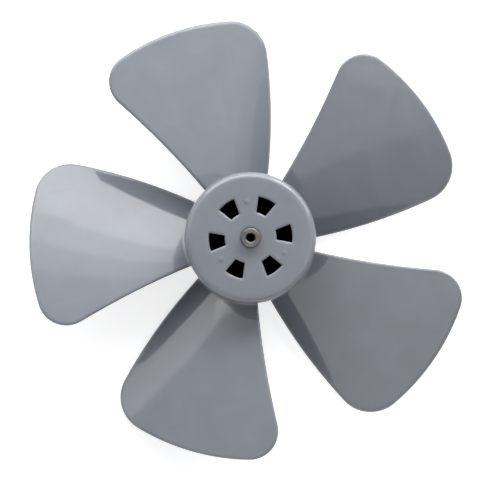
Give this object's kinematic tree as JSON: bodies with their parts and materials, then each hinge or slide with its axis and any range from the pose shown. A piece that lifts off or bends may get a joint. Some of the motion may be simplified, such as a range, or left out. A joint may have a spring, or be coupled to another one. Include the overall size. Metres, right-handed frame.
{
  "type": "fan blade",
  "caption": "Axial fan blade moulded in glossy grey plastic: pitched blades around a cup hub with a windowed face, and a metal bush that takes the motor shaft.",
  "frame": {"origin": "on the spin axis, in the plane of the hub's front face, inside the bush bore", "axes": "+Z along the spin axis, out of the hub's closed face; +Y is the picture's up"},
  "size_m": [0.2445, 0.2495, 0.049],
  "materials": {
    "grey_plastic": "moulded gloss",
    "bush_steel": "turned, dull plated"
  },
  "bodies": {
    "root": {"impeller": "grey_plastic", "shaft_bush": "bush_steel"}
  },
  "joints": []
}
